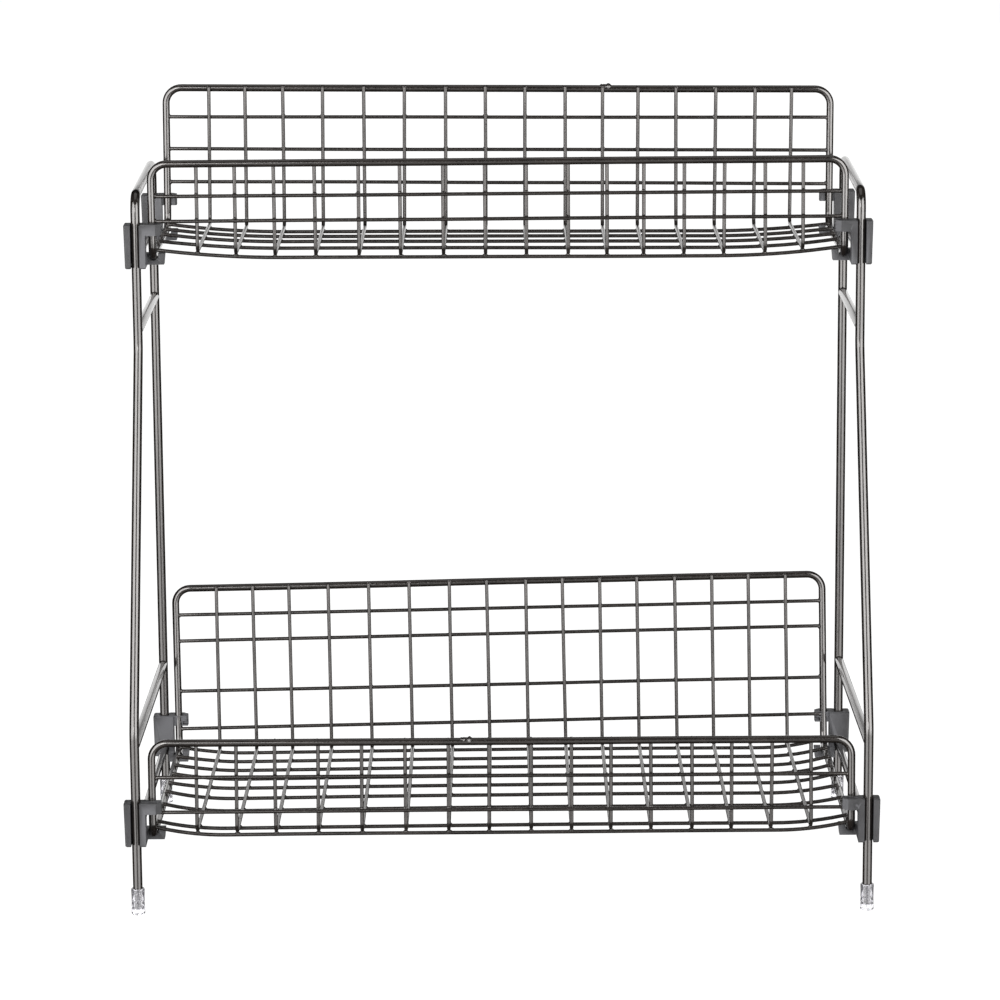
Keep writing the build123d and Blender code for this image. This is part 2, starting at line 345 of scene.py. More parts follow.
@dataclass(frozen=True)
class FloorPaint:
    """Evenly lit white backdrop, just short of overexposed, with a trace of unevenness."""

    name: str = "floor_white"
    tone: float = 0.055
    glow: float = 0.965

    @cached_property
    def material(self) -> bpy.types.Material:
        """The floor as a node material."""
        board = NodeBoard(self.name)
        place = board.add("TexCoord").outputs["Object"]
        clouds = board.noise(3.0, 2.0, place)
        grey = (self.tone - 0.005,) * 3
        white = (self.tone,) * 3
        skin = board.add("BsdfPrincipled", Specular_IOR_Level=0.1, Emission_Strength=self.glow)
        skin.inputs["Emission Color"].default_value = (1.0, 1.0, 0.998, 1.0)
        board.join(board.ramp(clouds, [(0.3, grey), (0.7, white)]), skin.inputs["Base Color"])
        board.join(board.spread(clouds, 0.8, 0.9), skin.inputs["Roughness"])
        board.join(skin.outputs["BSDF"], board.output.inputs["Surface"])
        return board.material


Finish = WireLacquer | ClipPlastic | FootVinyl


# Meshes


Ring = list[bmesh.types.BMVert]

ARC_STEP = math.radians(9.0)
LEG_RUN, RIM_RUN, MESH_RUN = 20 * MM, 16 * MM, 14 * MM
LEG_SIDES, RIM_SIDES, MESH_SIDES = 32, 28, 14
WANDER_SCALE = 11.0
LUMP_SCALE = 1400.0
LUMP_SHARE = 0.22


def rounded_route(
    corners: Sequence[Vector], radii: Sequence[float], closed: bool = False
) -> list[Vector]:
    """Centre line of a bent wire.

    Args:
        corners: Where the straight runs would meet, with the two ends if it is open.
        radii: Bend radius at each inner corner, or at every corner if it is closed.
        closed: Whether the last corner joins the first.

    Returns:
        Points along the straight runs and bends.
    """
    count = len(corners)
    bends = list(radii) if closed else [0.0, *radii, 0.0]
    route: list[Vector] = []
    for index, (corner, radius) in enumerate(zip(corners, bends)):
        if not closed and index in (0, count - 1):
            route.append(corner.copy())
            continue
        arriving = (corner - corners[index - 1]).normalized()
        leaving = (corners[(index + 1) % count] - corner).normalized()
        turn = arriving.angle(leaving)
        axis = arriving.cross(leaving).normalized()
        start = corner - arriving * radius * math.tan(turn / 2)
        centre = start + axis.cross(arriving) * radius
        steps = max(3, math.ceil(turn / ARC_STEP))
        for step in range(steps + 1):
            spin = Matrix.Rotation(turn * step / steps, 3, axis)
            route.append(centre + spin @ (start - centre))
    return route


def divided(route: Sequence[Vector], longest: float, closed: bool = False) -> list[Vector]:
    """Cut the long runs of a route into shorter ones.

    Args:
        route: Points along a wire.
        longest: The longest run that stays whole.
        closed: Whether the last point joins the first.

    Returns:
        The same line with more points.
    """
    ends = list(route[1:]) + ([route[0]] if closed else [])
    finer: list[Vector] = []
    for start, end in zip(route, ends):
        parts = max(1, math.ceil((end - start).length / longest))
        finer.extend(start.lerp(end, part / parts) for part in range(parts))
    if not closed:
        finer.append(route[-1].copy())
    return finer


def swayed(route: Sequence[Vector], amount: float, seed: float) -> list[Vector]:
    """Let a wire wander a little, as hand-loaded and welded wire does.

    Args:
        route: Points along a wire.
        amount: How far it may leave its line.
        seed: A number that makes this wire's wander its own.

    Returns:
        The moved points.
    """
    shift = Vector((seed * 1.7, seed * 3.1, seed * 5.3))
    return [point + noise.noise_vector(point * WANDER_SCALE + shift) * amount for point in route]


class WireMesh:
    """A mesh of wires and weld beads that becomes one piece."""

    def __init__(self) -> None:
        """Start with nothing."""
        self.bm = bmesh.new()

    def tube(
        self, route: Sequence[Vector], radius: float, sides: int, closed: bool = False
    ) -> None:
        """Add a round wire along a route, with softly rounded cut ends.

        Args:
            route: Points along its centre line.
            radius: The wire's radius.
            sides: Points around it.
            closed: Whether it joins itself.
        """
        points = [point.copy() for point in route]
        sizes = [radius] * len(points)
        if not closed:
            points, sizes = self._round_ends(points, radius)
        count = len(points)
        tangents = []
        for index in range(count):
            before = points[index - 1] if index or closed else points[0]
            after = points[(index + 1) % count] if index < count - 1 or closed else points[-1]
            tangents.append((after - before).normalized())
        normal = tangents[0].orthogonal().normalized()
        rings = []
        for point, tangent, size in zip(points, tangents, sizes):
            normal = (normal - tangent * normal.dot(tangent)).normalized()
            other = tangent.cross(normal)
            ring = []
            for step in range(sides):
                angle = math.tau * step / sides
                offset = normal * math.cos(angle) + other * math.sin(angle)
                ring.append(self.bm.verts.new(point + offset * size))
            rings.append(ring)
        for first, second in zip(rings, rings[1:]):
            self._bridge(first, second)
        if closed:
            self._bridge(rings[-1], self._matched(rings[-1], rings[0]))
        else:
            self.bm.faces.new(list(reversed(rings[0])))
            self.bm.faces.new(rings[-1])

    @staticmethod
    def _round_ends(
        points: list[Vector], radius: float
    ) -> tuple[list[Vector], list[float]]:
        """Add the small rings that round both cut ends.

        Args:
            points: The centre line.
            radius: The wire's radius.

        Returns:
            The longer centre line and the radius at each of its points.
        """
        shares = ((0.0, 0.62), (0.08, 0.84), (0.24, 0.97))
        first = (points[1] - points[0]).normalized()
        last = (points[-2] - points[-1]).normalized()
        head = [points[0] + first * radius * inward for inward, _ in shares]
        tail = [points[-1] + last * radius * inward for inward, _ in reversed(shares)]
        middle = [points[0] + first * radius * 0.5, *points[1:-1], points[-1] + last * radius * 0.5]
        sizes = [radius * size for _, size in shares]
        return head + middle + tail, sizes + [radius] * len(middle) + sizes[::-1]

    @staticmethod
    def _matched(ring: Ring, other: Ring) -> Ring:
        """Turn a ring so that it lines up best with another.

        Args:
            ring: The ring to line up with.
            other: The ring to turn.

        Returns:
            The second ring's points, starting at the best one.
        """
        gaps = [(vert.co - ring[0].co).length for vert in other]
        best = gaps.index(min(gaps))
        return other[best:] + other[:best]

    def _bridge(self, first: Ring, second: Ring) -> None:
        """Join two rings with faces.

        Args:
            first: One ring's points.
            second: The next ring's points.
        """
        count = len(first)
        for step in range(count):
            after = (step + 1) % count
            self.bm.faces.new((first[step], first[after], second[after], second[step]))

    def bead(
        self, centre: Vector, axes: Sequence[Vector], sizes: Sequence[float], seed: float
    ) -> None:
        """Add a weld bead: a flattened, slightly lumpy drop.

        Args:
            centre: Its middle.
            axes: Three directions at right angles.
            sizes: Its half sizes along them.
            seed: A number that makes its lumps its own.
        """
        scale = Matrix([axis * size for axis, size in zip(axes, sizes)]).transposed().to_4x4()
        made = bmesh.ops.create_icosphere(
            self.bm, subdivisions=2, radius=1.0, matrix=Matrix.Translation(centre) @ scale
        )
        shift = Vector((seed, seed * 2.3, seed * 0.7))
        smallest = min(sizes)
        for vert in made["verts"]:
            vert.co += noise.noise_vector(vert.co * LUMP_SCALE + shift) * smallest * LUMP_SHARE

    def finish(
        self, name: str, body: str, finish: Finish, slot: str, nodes: Sequence[str] = ()
    ) -> bpy.types.Object:
        """Turn the mesh into a piece of the rack.

        Args:
            name: The piece's name.
            body: The moving body that carries it.
            finish: Its finish, with a material.
            slot: The record's material slot; not used.
            nodes: Nodes that it stands for.

        Returns:
            The new object.
        """
        bmesh.ops.recalc_face_normals(self.bm, faces=self.bm.faces)
        mesh = bpy.data.meshes.new(name)
        self.bm.to_mesh(mesh)
        self.bm.free()
        return place_piece(name, mesh, body, finish, nodes)


def place_piece(
    name: str,
    mesh: bpy.types.Mesh,
    body: str,
    finish: Finish,
    nodes: Sequence[str] = (),
) -> bpy.types.Object:
    """Put a mesh into the scene as a smooth piece that rides on a body.

    Args:
        name: The piece's name.
        mesh: Its mesh, in the part's frame.
        body: The moving body that carries it.
        finish: Its finish, with a material.
        nodes: Nodes that it stands for.

    Returns:
        The new object.
    """
    mesh.shade_smooth()
    mesh.materials.append(finish.material)
    piece = bpy.data.objects.new(name, mesh)
    bpy.context.scene.collection.objects.link(piece)
    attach(piece, body)
    if nodes:
        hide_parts(*nodes)
    log.info("%s: %d points", name, len(mesh.vertices))
    return piece


# The rack's own sizes


@dataclass(frozen=True)
class RackSizes:
    """Driving sizes that the side frames and baskets share."""

    half_width: float = 192.0 * MM
    depth: float = 208.5 * MM
    leg_radius: float = 2.5 * MM
    brace_radius: float = 2.5 * MM
    rail_radius: float = 2.0 * MM
    rim_radius: float = 2.0 * MM
    mesh_radius: float = 1.0 * MM
    rim_half_width: float = 183.6 * MM
    rim_setback: float = 3.0 * MM
    step_back: float = 86.5 * MM
    sole: float = 2.8 * MM

    @cached_property
    def front_y(self) -> float:
        """Where the lower front legs stand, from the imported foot."""
        low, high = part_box("left_front_foot")
        return (low[1] + high[1]) / 2


RACK = RackSizes()
LACQUER = WireLacquer()
MESH_LACQUER = WireLacquer("mesh_lacquer", smooth=0.18, rough=0.28, shine=0.52, coat=0.12)
PLASTIC = ClipPlastic()
VINYL = FootVinyl()


@dataclass
class SideFrame:
    """One end of the rack: the bent wire, two braces and two rails."""

    side: Side
    lower_bend: float = 98.4 * MM
    upper_bend: float = 286.5 * MM
    top: float = 368.7 * MM
    bend_radius: float = 16.0 * MM
    corner_radius: float = 9.0 * MM
    bead_length: float = 1.0 * MM
    bead_offset: float = 0.1 * MM

    def point(self, depth: float, height: float) -> Vector:
        """A point in this frame's plane.

        Args:
            depth: Distance behind the lower front leg.
            height: Height above the floor.

        Returns:
            The point in the part's frame.
        """
        return Vector((self.side.value * RACK.half_width, RACK.front_y + depth, height))

    def build(self) -> None:
        """Build and dress the bent wire, the braces, the rails and their welds."""
        self.bent_wire()
        for tier in TIERS:
            self.tie(tier, "brace", tier.brace_height, RACK.brace_radius)
            self.tie(tier, "rail", tier.rail_height, RACK.rail_radius)

    def bent_wire(self) -> None:
        """The wire from the front foot over the top to the rear foot."""
        corners = [
            self.point(0.0, RACK.sole),
            self.point(0.0, self.lower_bend),
            self.point(RACK.step_back, self.upper_bend),
            self.point(RACK.step_back, self.top),
            self.point(RACK.depth, self.top),
            self.point(RACK.depth, RACK.sole),
        ]
        radii = [self.bend_radius, self.bend_radius, self.corner_radius, self.corner_radius]
        wire = WireMesh()
        wire.tube(divided(rounded_route(corners, radii), LEG_RUN), RACK.leg_radius, LEG_SIDES)
        word = self.side.word
        wire.finish(
            f"{word}_bent_wire", "frame", LACQUER, "coated_wire", [f"{word}_frame_wire"]
        )

    def tie(self, tier: "Basket", kind: str, height: float, radius: float) -> None:
        """A straight wire between the legs, tilted as its tier, with a bead at each end.

        Args:
            tier: The basket that it belongs to.
            kind: The end of the node's name.
            height: Its height on the front leg's axis.
            radius: Its radius.
        """
        drop = (RACK.depth - tier.leg_depth) * math.tan(tier.tilt)
        start = self.point(tier.leg_depth, height)
        end = self.point(RACK.depth, height - drop)
        along = (end - start).normalized()
        across = Vector((1.0, 0.0, 0.0))
        up = across.cross(along)
        inset = RACK.leg_radius * 0.8
        wire = WireMesh()
        wire.tube([start + along * inset, end - along * inset], radius, RIM_SIDES)
        for number, (spot, away) in enumerate(((start, along), (end, -along))):
            wire.bead(
                spot + away * (RACK.leg_radius + self.bead_offset),
                (away, across, up),
                (self.bead_length, radius * 0.98, radius * 1.16),
                seed=number + len(kind) + self.side.value,
            )
        name = f"{self.side.word}_{tier.name}_{kind}"
        wire.finish(f"{name}_wire", "frame", LACQUER, "coated_wire", [name])


@dataclass(frozen=True)
class Warp:
    """How far a panel of a real, hand-fitted basket is out of level and out of line."""

    lean: float = 0.0
    bow: float = 0.0
    swing: float = 0.0

    def rise(self, share: float) -> float:
        """Extra height at a place along the panel.

        Args:
            share: Place from the middle, -1 at the left end and 1 at the right.

        Returns:
            The extra height.
        """
        return self.lean * share + self.bow * share * share


@dataclass
class Basket:
    """One basket: its rim, its mesh of thin wires and all their welds.

    Rows are shares of their wall's height or of the floor's depth. The cross wires' errors are
    in millimetres, from even spacing. The floor's warp fades in over warp_run, from warp_lead in
    front of the legs, and a wall's takes over within warp_climb above its foot. Each slip is the
    most that a hand-placed wire is off, and end_short and end_long bound a cross wire's top.
    """

    name: str
    leg_depth: float
    brace_height: float
    rail_height: float
    tilt: float
    front_height: float
    back_height: float
    back_lean: float
    flat_share: float
    back_corner_wire: bool
    front_rows: tuple[float, ...]
    floor_rows: tuple[float, ...]
    back_rows: tuple[float, ...]
    cross_errors: tuple[float, ...]
    front_warp: Warp
    floor_warp: Warp
    back_warp: Warp
    joint_spot: tuple[Wall, float]
    seed: int
    rim_corner_radius: float = 8.5 * MM
    rim_foot_radius: float = 8.0 * MM
    cross_count: int = 16
    cross_drift: float = 3.6 * MM
    cross_bend: float = 5.0 * MM
    overrun: float = 0.8 * MM
    floor_drop: float = 1.4 * MM
    corner_angle: float = math.radians(20.0)
    corner_gap: float = 0.15 * MM
    touch: float = 0.02 * MM
    curve_steps: int = 9
    wander: float = 0.22 * MM
    warp_lead: float = 20.0 * MM
    warp_run: float = 60.0 * MM
    warp_climb: float = 12.0 * MM
    cross_slip: float = 0.25 * MM
    row_slip: float = 0.35 * MM
    end_slip: float = 0.4 * MM
    end_short: float = 0.5 * MM
    end_long: float = 0.25 * MM
    joint_length: float = 1.5 * MM
    lump_length: float = 1.3 * MM
    lump_pitch: float = 1.15 * MM
    lump_count: int = 5
    bead_shares: tuple[float, float] = (1.2, 1.48)
    jitter: random.Random = field(init=False, repr=False)

    def __post_init__(self) -> None:
        """Seed the small irregularities."""
        self.jitter = random.Random(self.seed)

    # Places

    @property
    def body(self) -> str:
        """The moving body that the basket is."""
        return f"{self.name}_basket"

    @property
    def rim_to_cross(self) -> float:
        """Distance of the cross wires' axes from the rim's."""
        return RACK.rim_radius + RACK.mesh_radius + self.touch

    @property
    def cross_to_long(self) -> float:
        """Distance of the long wires' axes from the cross wires'."""
        return 2 * RACK.mesh_radius + self.touch

    @property
    def back_depth(self) -> float:
        """Distance along the floor from the front leg to the back wall's foot."""
        return (RACK.depth - RACK.rim_setback - self.leg_depth) / math.cos(self.tilt)

    def local(self, x: float, depth: float, height: float) -> Vector:
        """A point of the tilted basket in the part's frame.

        Args:
            x: Distance to the right of the middle.
            depth: Distance back along the floor from the front legs.
            height: Distance out of the floor from the rails.

        Returns:
            The point in the part's frame.
        """
        cos, sin = math.cos(self.tilt), math.sin(self.tilt)
        y = RACK.front_y + self.leg_depth + depth * cos + height * sin
        level = self.rail_height - depth * sin + height * cos
        rise, swing = self.warp(x, depth, height)
        return Vector((x + swing, y, level + rise))

    def warp(self, x: float, depth: float, height: float) -> tuple[float, float]:
        """How far the real basket is from its true form here.

        Args:
            x: Distance to the right of the middle.
            depth: Distance back along the floor.
            height: Distance out of the floor.

        Returns:
            How much higher it is, the floor's share or a wall's from its foot upwards, and
            how far it swings to the right.
        """
        share = x / RACK.rim_half_width
        inward = min(max((depth + self.warp_lead) / self.warp_run, 0.0), 1.0)
        floor = self.floor_warp.rise(share) * inward
        wall = self.front_warp if depth < self.back_depth / 2 else self.back_warp
        climb = min(max(height / self.warp_climb, 0.0), 1.0)
        swing = wall.swing * max(height, 0.0) / self.back_height
        return floor + (wall.rise(share) - floor) * climb, swing

    def direction(self, x: float, depth: float, height: float) -> Vector:
        """A direction given in the basket's own tilted axes.

        Args:
            x: Part to the right.
            depth: Part back along the floor.
            height: Part out of the floor.

        Returns:
            The unit direction in the part's frame.
        """
        cos, sin = math.cos(self.tilt), math.sin(self.tilt)
        turned = Vector((x, depth * cos + height * sin, height * cos - depth * sin))
        return turned.normalized()

    def wall_point(self, height: float, inset: float = 0.0) -> tuple[float, float]:
        """A point of the leaning back wall.

        Args:
            height: Distance up along the wall.
            inset: Distance in front of it.

        Returns:
            Its depth and height in the basket's axes.
        """
        sin, cos = math.sin(self.back_lean), math.cos(self.back_lean)
        return self.back_depth + height * sin - inset * cos, height * cos + inset * sin

    def wall_depth_at(self, height: float, inset: float) -> float:
        """Depth of a line in front of the back wall.

        Args:
            height: Distance out of the floor.
            inset: Distance in front of the wall.

        Returns:
            The line's depth at that height.
        """
        lean = self.back_lean
        return self.back_depth + height * math.tan(lean) - inset / math.cos(lean)

    def rise_arc(self, height: float, seat: float) -> tuple[float, float, float]:
        """How a long floor wire curves up onto the rim's side.

        Args:
            height: Its axis height in the flat middle.
            seat: Its axis height where it lies on the rim.

        Returns:
            The flat half length, the rise and the curve's radius.
        """
        flat = self.flat_share * RACK.rim_half_width
        run = RACK.rim_half_width - flat
        slope = 2 * math.atan((seat - height) / run)
        rise = seat / math.cos(slope) - height
        return flat, rise, (run**2 + rise**2) / (2 * rise)

    def lift(self, x: float, height: float, seat: float) -> float:
        """Rise of the curved floor at a place along x.

        Args:
            x: Distance to the right of the middle.
            height: The long wire's axis height in the middle.
            seat: Its axis height on the rim.

        Returns:
            The rise there.
        """
        flat, _, radius = self.rise_arc(height, seat)
        past = max(abs(x) - flat, 0.0)
        return radius - math.sqrt(radius**2 - past**2)

    def rim_seat(self, depth: float) -> float:
        """Height of a wire that lies on the rim's side.

        Args:
            depth: Where it lies.

        Returns:
            Its axis height, more where the rim bends up.
        """
        inner = self.rim_foot_radius - self.rim_to_cross
        rear = self.wall_depth_at(self.rim_foot_radius, self.rim_foot_radius)
        past = max(RACK.rim_setback + self.rim_foot_radius - depth, depth - rear, 0.0)
        return self.rim_foot_radius - math.sqrt(inner**2 - past**2)

    def cross_places(self) -> list[float]:
        """Places of the cross wires.

        Returns:
            Their x, from left to right.
        """
        places = []
        for step in range(self.cross_count):
            share = (step + 1) / (self.cross_count + 1)
            even = (2 * share - 1) * RACK.rim_half_width
            error = self.cross_errors[step] * MM
            places.append(even + self.cross_drift * math.sin(math.pi * share) + error)
        return places

    def floor_places(self) -> list[tuple[float, float]]:
        """Places of the long floor wires.

        Returns:
            Depth and height of each, the ones in the bends last.
        """
        span = self.back_depth - RACK.rim_setback
        places = [(RACK.rim_setback + share * span, -self.floor_drop) for share in self.floor_rows]
        reach = self.cross_bend + self.cross_to_long + self.corner_gap
        centre = self.cross_to_long + self.cross_bend - self.floor_drop
        height = centre - reach * math.cos(self.corner_angle)
        aside = reach * math.sin(self.corner_angle)
        front = RACK.rim_setback + self.rim_to_cross + self.cross_bend
        places.append((front - aside, height))
        if self.back_corner_wire:
            inset = self.rim_to_cross + self.cross_bend
            places.append((self.wall_depth_at(centre, inset) + aside, height))
        return places

    def wall_places(self, wall: Wall) -> list[tuple[float, float]]:
        """Depth and height of each long wire of a wall.

        Args:
            wall: The front or the back wall.

        Returns:
            One pair a wire.
        """
        inset = self.rim_to_cross - self.cross_to_long
        if wall is Wall.FRONT:
            depth = RACK.rim_setback + inset
            return [(depth, share * self.front_height) for share in self.front_rows]
        return [self.wall_point(share * self.back_height, inset) for share in self.back_rows]

    # Pieces

    def build(self) -> None:
        """Build and dress the whole basket."""
        self.rim()
        self.cross_wires()
        self.wall_wires(Wall.FRONT)
        self.wall_wires(Wall.BACK)
        self.floor_wires()
        self.welds()

    def _piece(self, wire: WireMesh, kind: str, nodes: Sequence[str]) -> None:
        """Finish a mesh of wires as a piece of this basket.

        Args:
            wire: The mesh.
            kind: The end of the piece's name.
            nodes: Ends of the names of the nodes that it stands for.
        """
        replaced = [f"{self.name}_{node}" for node in nodes]
        finish = LACQUER if kind == "rim_wire" else MESH_LACQUER
        wire.finish(f"{self.name}_{kind}", self.body, finish, "coated_wire", replaced)

    def _mesh_wire(
        self, wire: WireMesh, route: Sequence[Vector], wander: float, seed: float
    ) -> None:
        """Add one thin wire of the mesh.

        Args:
            wire: The mesh of wires.
            route: Points along its centre line.
            wander: How far it may leave its line.
            seed: A number that makes its wander its own.
        """
        line = swayed(divided(route, MESH_RUN), wander, seed)
        wire.tube(line, RACK.mesh_radius, MESH_SIDES)

    def rim(self) -> None:
        """The thick closed wire with the lump where its ends were joined."""
        half = RACK.rim_half_width
        foot, top = self.wall_point(0.0), self.wall_point(self.back_height)
        right = [
            (half, RACK.rim_setback, self.front_height),
            (half, RACK.rim_setback, 0.0),
            (half, *foot),
            (half, *top),
        ]
        left = [(-x, depth, height) for x, depth, height in reversed(right)]
        corners = [self.local(*place) for place in right + left]
        bends = [
            self.rim_corner_radius,
            self.rim_foot_radius,
            self.rim_foot_radius,
            self.rim_corner_radius,
        ]
        route = divided(rounded_route(corners, bends + bends[::-1], closed=True), RIM_RUN, True)
        wire = WireMesh()
        wire.tube(swayed(route, self.wander, self.seed), RACK.rim_radius, RIM_SIDES, closed=True)
        self._rim_joint(wire)
        self._piece(wire, "rim_wire", ["basket_rim"])

    def _rim_joint(self, wire: WireMesh) -> None:
        """Add the rough lump of the rim's own butt weld.

        Args:
            wire: The rim's mesh.
        """
        wall, x = self.joint_spot
        if wall is Wall.FRONT:
            spot = self.local(x, RACK.rim_setback, self.front_height)
        else:
            spot = self.local(x, *self.wall_point(self.back_height))
        axes = (Vector((1.0, 0.0, 0.0)), self.direction(0, 1, 0), self.direction(0, 0, 1))
        radius = RACK.rim_radius
        wire.bead(spot, axes, (self.joint_length, radius * 1.17, radius * 1.22), self.seed)
        for step in range(self.lump_count):
            nudge = Vector(((step - 3.4) * self.lump_pitch, 0.0, 0.0))
            size = radius * (0.98 + 0.05 * (step % 2))
            wire.bead(spot + nudge, axes, (self.lump_length, size, size), self.seed + step)

    def cross_wires(self) -> None:
        """The U-shaped wires on the inner side, each with its own small errors."""
        wire = WireMesh()
        for number, x in enumerate(self.cross_places()):
            slip = self.cross_slip
            shifts = [self.jitter.uniform(-slip, slip) for _ in range(3)]
            top = self.overrun + self.jitter.uniform(-self.end_short, self.end_long)
            route = self.cross_route(x, shifts, top)
            self._mesh_wire(wire, route, self.wander, number * 2.1)
        self._piece(wire, "cross_wire_set", ["cross_wires"])

    def cross_route(self, x: float, shifts: Sequence[float], top: float) -> list[Vector]:
        """Centre line of one cross wire.

        Args:
            x: Its place.
            shifts: Errors in x at the front top, on the floor and at the back top.
            top: How far it runs past the rim's axis.

        Returns:
            Points along it.
        """
        front = RACK.rim_setback + self.rim_to_cross
        floor = self.cross_floor(x)
        foot = self.wall_depth_at(floor, self.rim_to_cross)
        back_top = self.wall_point(self.back_height + top, self.rim_to_cross)
        middle = x + shifts[1]
        corners = [
            self.local(x + shifts[0], front, self.front_height + top),
            self.local(middle, front, floor),
            self.local(middle, foot, floor),
            self.local(x + shifts[2], *back_top),
        ]
        return rounded_route(corners, [self.cross_bend] * 2)

    def cross_floor(self, x: float) -> float:
        """Axis height of a cross wire on the floor.

        Args:
            x: Its place.

        Returns:
            Its height, more near the rim's sides.
        """
        rise = self.lift(x, -self.floor_drop, self.rim_to_cross)
        return self.cross_to_long - self.floor_drop + rise

    def wall_wires(self, wall: Wall) -> None:
        """Straight long wires of a wall, their ends on the rim's uprights.

        Args:
            wall: The front or the back wall.
        """
        wire = WireMesh()
        half = RACK.rim_half_width - RACK.rim_radius * 0.6
        for number, (depth, height) in enumerate(self.wall_places(wall)):
            ends = [self.jitter.uniform(-self.row_slip, self.row_slip) for _ in range(2)]
            corners = [
                self.local(-half, depth, height + ends[0]),
                self.local(half, depth, height + ends[1]),
            ]
            self._mesh_wire(wire, corners, self.wander, number * 3.3 + 40)
        self._piece(wire, f"{wall.value}_wire_set", [f"{wall.value}_wires"])

    def floor_wires(self) -> None:
        """Long floor wires whose ends curve up onto the rim's sides."""
        wire = WireMesh()
        for number, (depth, height) in enumerate(self.floor_places()):
            seat = self.rim_seat(depth)
            flat, _, _ = self.rise_arc(height, seat)
            half = RACK.rim_half_width + self.jitter.uniform(-self.end_slip, self.end_slip)
            places = [flat * share for share in (-1.0, -0.6, -0.2, 0.2, 0.6, 1.0)]
            steps = self.curve_steps
            curve = [flat + (half - flat) * step / steps for step in range(1, steps + 1)]
            places = [-x for x in reversed(curve)] + places + curve
            route = [self.local(x, depth, height + self.lift(x, height, seat)) for x in places]
            self._mesh_wire(wire, route, self.wander * 0.8, number * 1.9 + 80)
        self._piece(wire, "floor_wire_set", ["floor_wires"])

    # Welds

    def welds(self) -> None:
        """A bead at every crossing, where the mesh was spot-welded."""
        wire = WireMesh()
        for x in self.cross_places():
            self._wall_beads(wire, x)
            self._floor_beads(wire, x)
        self._rim_beads(wire)
        self._piece(wire, "mesh_welds", [])

    def _crossing(self, wire: WireMesh, spot: Vector, facing: Vector, thick: float = 0.62) -> None:
        """Add one small bead between two crossing wires.

        Args:
            wire: The mesh of beads.
            spot: Where the wires touch.
            facing: Direction from one wire's axis to the other's.
            thick: Half height of the bead along that direction, in mesh radii.
        """
        across = Vector((1.0, 0.0, 0.0))
        if abs(facing.x) > 0.5:
            across = Vector((0.0, 0.0, 1.0))
        other = facing.cross(across).normalized()
        size = RACK.mesh_radius * self.jitter.uniform(*self.bead_shares)
        sizes = (RACK.mesh_radius * thick, size, size * self.jitter.uniform(0.9, 1.1))
        wire.bead(spot, (facing, across, other), sizes, self.jitter.uniform(0, 50))

    def _wall_beads(self, wire: WireMesh, x: float) -> None:
        """Beads of one cross wire on both walls and at the rim's bars.

        Args:
            wire: The mesh of beads.
            x: The cross wire's place.
        """
        radius = RACK.mesh_radius
        front = self.direction(0, 1, 0)
        for depth, height in self.wall_places(Wall.FRONT):
            self._crossing(wire, self.local(x, depth + radius, height), front)
        bar = RACK.rim_setback + RACK.rim_radius
        self._crossing(wire, self.local(x, bar, self.front_height), front, 0.8)
        cos, sin = math.cos(self.back_lean), math.sin(self.back_lean)
        back = self.direction(0, -cos, sin)
        for depth, height in self.wall_places(Wall.BACK):
            spot = self.local(x, depth - radius * cos, height + radius * sin)
            self._crossing(wire, spot, back)
        spot = self.local(x, *self.wall_point(self.back_height, RACK.rim_radius))
        self._crossing(wire, spot, back, 0.8)

    def _floor_beads(self, wire: WireMesh, x: float) -> None:
        """Beads of one cross wire on the floor.

        Args:
            wire: The mesh of beads.
            x: The cross wire's place.
        """
        up = self.direction(0, 0, 1)
        for depth, height in self.floor_places():
            lifted = height + self.lift(x, height, self.rim_seat(depth))
            self._crossing(wire, self.local(x, depth, lifted + RACK.mesh_radius), up)

    def _rim_beads(self, wire: WireMesh) -> None:
        """Beads where the long wires end on the rim.

        Args:
            wire: The mesh of beads.
        """
        up = self.direction(0, 0, 1)
        for side in Side:
            x = side.value * (RACK.rim_half_width - RACK.mesh_radius * 0.4)
            for depth, _ in self.floor_places():
                seat = self.rim_seat(depth) - RACK.mesh_radius
                self._crossing(wire, self.local(x, depth, seat), up, 0.7)
            x = side.value * (RACK.rim_half_width - RACK.rim_radius)
            facing = Vector((float(side.value), 0.0, 0.0))
            for wall in (Wall.FRONT, Wall.BACK):
                for depth, height in self.wall_places(wall):
                    self._crossing(wire, self.local(x, depth, height), facing, 0.8)


